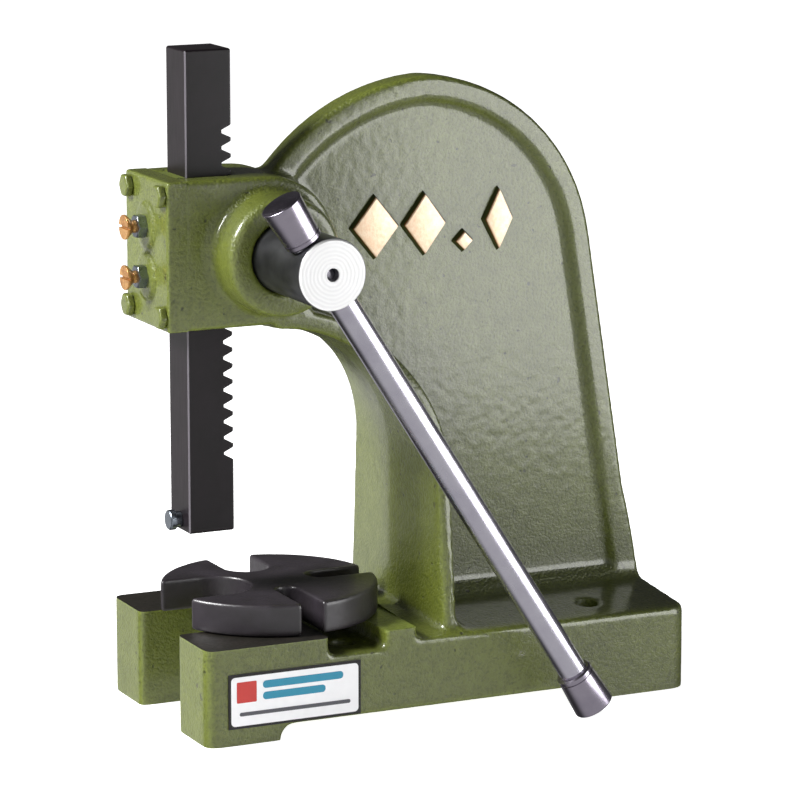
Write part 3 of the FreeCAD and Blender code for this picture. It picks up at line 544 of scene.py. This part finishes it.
def frame_cutters():
    """Solids for the faces and bores that are machined in the casting."""
    ram_low, ram_high = (Vector(corner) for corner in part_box("ram"))
    cover_low, cover_high = (Vector(corner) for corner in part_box("front_cover"))
    frame_low, frame_high = (Vector(corner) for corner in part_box("frame"))
    gap = 0.0004
    channel = block((ram_low.x - gap, cover_high.y - 0.02, cover_low.z - 0.01),
                    (ram_high.x + gap, ram_high.y + gap, cover_high.z + 0.01))
    seat = block((frame_low.x, frame_low.y - 0.02, cover_low.z - 0.02),
                 (frame_high.x, cover_high.y, cover_high.z + 0.02))
    pads = block((frame_low.x - 0.01, frame_low.y - 0.01, PAD_LEVEL),
                 (frame_high.x + 0.01, PAD_REAR, PAD_LEVEL + 0.012))
    bench = block((frame_low.x - 0.01, frame_low.y - 0.01, frame_low.z - 0.01),
                  (frame_high.x + 0.01, frame_high.y + 0.01, frame_low.z))
    bore = prism(ring_points((SHAFT_AXIS.y, SHAFT_AXIS.z), BORE_RADIUS), BORE_START, 0.06)
    journal = prism(ring_points((SHAFT_AXIS.y, SHAFT_AXIS.z), JOURNAL_RADIUS), -0.05, JOURNAL_END)
    pin = prism(ring_points((TABLE_AXIS.x, TABLE_AXIS.y), PIN_RADIUS), -0.005, 0.06, "Z")
    holes = []
    for name in ("front_bolt_holes", "rear_bolt_holes"):
        mount = [m for m in frame["record"]["mounts"] if m["name"] == name][0]
        reach = mount["dims"]["spacing_x_mm"] / 2000
        radius = mount["dims"]["hole_r_mm"] / 1000
        for side in (-1, 1):
            centre = (mount["pos_m"][0] + side * reach, mount["pos_m"][1])
            holes.append(prism(ring_points(centre, radius), -0.005, 0.07, "Z"))
    return [channel, seat, pads, bench, bore, journal, pin] + holes


def cover_cutters():
    """Back face and screw holes of the cover."""
    low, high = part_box("front_cover")
    back = block((low.x - 0.01, high.y, low.z - 0.01), (high.x + 0.01, high.y + 0.02, high.z + 0.01))
    cutters = [back]
    for position in ("upper", "lower"):
        level = JOINTS["adjusting_screw_%s_turn" % position]["pos_m"][2]
        hole = ring_points((0.0, level), SCREW_HOLE_RADIUS, 48)
        cutters.append(prism(hole, low.y - 0.01, high.y + 0.01, "Y"))
    return cutters


def add_castings():
    """The frame, the cover, its painted bolts and the table plate."""
    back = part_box("front_cover")[1].y
    frame_low, frame_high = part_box("frame")
    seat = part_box("table_plate")[0].z
    machined = ((1, back, -ALLOWANCE), (2, seat, ALLOWANCE), (2, frame_low.z, -ALLOWANCE))
    web_foot = ((frame_low.x, FOOT_FRONT, FOOT_LOW), (frame_high.x, frame_high.y + 0.01, FOOT_HIGH))
    casting = cast_mesh("frame", 0.0011, 0.0014, 0.0012, frame_cutters(), 0.00015, machined,
                        broad=0.0055, soft=[web_foot])
    add_piece("frame_casting", casting, "stand", GREEN, ["frame"])
    casting.materials.append(PAD_IRON)
    for face in casting.polygons:
        on_pad = abs(face.center.z - PAD_LEVEL) < 1e-4 and face.normal.z > 0.95
        if on_pad and face.center.y < BARE_PAD_REAR:
            face.material_index = 1
    cover = cast_mesh("front_cover", 0.0006, 0.0012, 0.0009, cover_cutters(), 0.0002,
                      [(1, back, ALLOWANCE)])
    add_piece("cover_casting", cover, "stand", GREEN, ["front_cover"])
    bolts = cast_mesh("cover_bolts", 0.0004, 0.0004, 0.0006, skin=0.0001)
    add_piece("cover_bolts_painted", bolts, "stand", GREEN, ["cover_bolts"])
    table = cast_mesh("table_plate", 0.0006, 0.0004, 0.0005, skin=0.0001)
    add_piece("table_plate_worn", table, "table", TABLE_IRON, ["table_plate"])


add_castings()


# ---------------------------------------------------------------- gilt relief and label

def bevelled(name, mesh, width, body, material, replaced=()):
    """A piece with its edges rounded."""
    work = temporary(mesh)
    edges = work.modifiers.new("Bevel", "BEVEL")
    edges.width = width
    edges.segments = 3
    mesh = settle(work)
    bpy.data.objects.remove(work)
    mesh.shade_smooth()
    mesh.set_sharp_from_angle(angle=math.radians(40))
    return add_piece(name, mesh, body, material, replaced)


def lozenge(centre, half_width, half_height):
    """Four-sided outline standing on a point."""
    across, up = centre
    return [(across - half_width, up), (across, up - half_height),
            (across + half_width, up), (across, up + half_height)]


# The marks stand on the web's panel in one row a little above the shaft. Each is its distance
# along the web, its rise above the row, and its half width and half height.
RELIEF_LEVEL = SHAFT_AXIS.z + 0.0046
RELIEF_LOW, RELIEF_HIGH = 0.0040, 0.0088
RELIEF_FLARE = 0.0026
GILT = gilt("gilt", RELIEF_HIGH)
MARKS = ((0.0960, 0.0, 0.0125, 0.0155), (0.1245, 0.0, 0.0115, 0.0155),
         (0.1475, -0.0105, 0.0045, 0.0045), (0.1680, 0.0, 0.0075, 0.0155))
for index, (across, rise, half_width, half_height) in enumerate(MARKS):
    centre = (across, RELIEF_LEVEL + rise)
    outline = lozenge(centre, half_width, half_height)
    foot = lozenge(centre, half_width + RELIEF_FLARE, half_height + RELIEF_FLARE)
    bevelled("gilt_mark_%d" % (index + 1), prism(outline, RELIEF_LOW, RELIEF_HIGH, foot=foot), 0.0004,
             "stand", GILT)


def soft_rectangle(low, high, radius, steps=6):
    """Rectangle outline with round corners."""
    points = []
    corners = ((high[0] - radius, high[1] - radius, 0), (low[0] + radius, high[1] - radius, 1),
               (low[0] + radius, low[1] + radius, 2), (high[0] - radius, low[1] + radius, 3))
    for across, up, quarter in corners:
        for step in range(steps + 1):
            turn = math.pi / 2 * (quarter + step / steps)
            points.append((across + radius * math.cos(turn), up + radius * math.sin(turn)))
    return points


# Each printed shape is its left, bottom, right and top from the plate's lower left corner, its
# corner radius, how far it stands proud, and its colour.
PLATE_LOW, PLATE_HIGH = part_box("name_plate")
PRINT = {
    "field": (0.0014, 0.0014, 0.0726, 0.0272, 0.0022, 0.00010, colour(238, 238, 240)),
    "square": (0.0045, 0.0135, 0.0155, 0.0245, 0.0006, 0.00018, colour(196, 54, 48)),
    "bar_upper": (0.0190, 0.0200, 0.0640, 0.0240, 0.0018, 0.00018, colour(36, 138, 168)),
    "bar_lower": (0.0190, 0.0140, 0.0540, 0.0180, 0.0018, 0.00018, colour(36, 138, 168)),
    "line": (0.0060, 0.0065, 0.0680, 0.0085, 0.0009, 0.00018, colour(84, 84, 90)),
}
frame["nodes"]["name_plate"].material_slots[0].material = film("label_border", colour(34, 32, 32))
for name, (left, bottom, right, top, radius, proud, shade) in PRINT.items():
    outline = soft_rectangle((PLATE_LOW.y + left, PLATE_LOW.z + bottom),
                             (PLATE_LOW.y + right, PLATE_LOW.z + top), radius)
    mesh = prism(outline, PLATE_HIGH.x - 0.0002, PLATE_HIGH.x + proud)
    add_piece("label_" + name, mesh, "stand", film("label_" + name, shade))


# ---------------------------------------------------------------- floor, lights, camera

def add_floor():
    """Pale floor at the level of the bench. Glossy surfaces do not mirror it."""
    shape = bmesh.new()
    bmesh.ops.create_grid(shape, x_segments=1, y_segments=1, size=9.0)
    floor = bpy.data.objects.new("floor", mesh_from(shape, "floor"))
    bpy.context.scene.collection.objects.link(floor)
    floor.location.z = CAD_BOX[0][2]
    floor.visible_glossy = False
    n = Nodes("pale_floor")
    tone = n.mix(n.noise(3, 2), colour(236, 236, 236), colour(240, 240, 240))
    floor.data.materials.append(n.set(Base_Color=tone, Roughness=0.8, Emission_Color=(1, 1, 1, 1),
                                      Emission_Strength=0.97))


def add_light(name, where, aim, size, power, lit=True):
    """Soft rectangular light. One that isn't lit only shows as a sheen on glossy surfaces."""
    lamp = bpy.data.lights.new(name, "AREA")
    lamp.shape = "RECTANGLE"
    lamp.size, lamp.size_y = size
    lamp.energy = power
    item = bpy.data.objects.new(name, lamp)
    item.location = where
    item.rotation_euler = (Vector(aim) - Vector(where)).to_track_quat("-Z", "Y").to_euler()
    item.visible_camera = False
    item.visible_diffuse = lit
    bpy.context.scene.collection.objects.link(item)


def add_camera(target, azimuth, elevation, distance, lens):
    """Camera aimed at a target, with its angles in degrees and its lens in millimetres."""
    turn, lift = math.radians(azimuth), math.radians(elevation)
    towards = Vector((math.sin(turn) * math.cos(lift), -math.cos(turn) * math.cos(lift), math.sin(lift)))
    camera = bpy.data.objects.new("camera", bpy.data.cameras.new("camera"))
    camera.data.lens = lens
    camera.data.sensor_width = 36
    camera.data.clip_end = 30
    camera.location = Vector(target) + towards * distance
    camera.rotation_euler = towards.to_track_quat("Z", "Y").to_euler()
    bpy.context.scene.collection.objects.link(camera)
    bpy.context.scene.camera = camera


def add_world(dark, glows):
    """Dim studio surroundings with soft glows. A glow is a direction, the cosines of its outer and
    inner edge, and its brightness."""
    world = bpy.data.worlds.new("studio")
    world.use_nodes = True
    tree = world.node_tree
    place = tree.nodes.new("ShaderNodeTexCoord").outputs["Generated"]
    tree.nodes["Background"].inputs["Color"].default_value = (1.0, 1.0, 1.0, 1.0)
    total = None
    for direction, outer, inner, brightness in glows:
        facing = tree.nodes.new("ShaderNodeVectorMath")
        facing.operation = "DOT_PRODUCT"
        facing.inputs[1].default_value = Vector(direction).normalized()
        tree.links.new(place, facing.inputs[0])
        spread = tree.nodes.new("ShaderNodeMapRange")
        spread.interpolation_type = "SMOOTHSTEP"
        for key, value in (("From Min", outer), ("From Max", inner),
                           ("To Min", 0.0), ("To Max", brightness)):
            spread.inputs[key].default_value = value
        tree.links.new(facing.outputs["Value"], spread.inputs["Value"])
        plus = tree.nodes.new("ShaderNodeMath")
        plus.inputs[1].default_value = dark
        tree.links.new(spread.outputs["Result"], plus.inputs[0])
        if total:
            tree.links.new(total, plus.inputs[1])
        total = plus.outputs[0]
    tree.links.new(total, tree.nodes["Background"].inputs["Strength"])
    bpy.context.scene.world = world


bpy.context.scene.view_settings.view_transform = "Standard"
SURROUNDINGS = 0.05
LEVER_GLOW = ((0.80, -0.15, -0.58), 0.1, 0.75, 0.48)
FRONT_GLOW = ((-0.944, -0.2, -0.25), 0.90, 0.985, 0.66)
MIDDLE = (0.01, 0.1, 0.17)
WEB_MIDDLE = (0.01, 0.15, 0.2)
CAMERA_TARGET = (0.0146, 0.1067, 0.1607)
AZIMUTH, ELEVATION, DISTANCE, LENS = 64.59, 11.46, 2.116, 181.3
add_world(SURROUNDINGS, [LEVER_GLOW, FRONT_GLOW])
add_floor()
add_light("key_softbox", (-0.32, -1.6, 1.45), MIDDLE, (0.7, 0.7), 90)
add_light("side_panel", (0.572, 0.659, 0.27), WEB_MIDDLE, (0.6, 0.6), 6.3, False)
add_camera(CAMERA_TARGET, AZIMUTH, ELEVATION, DISTANCE, LENS)
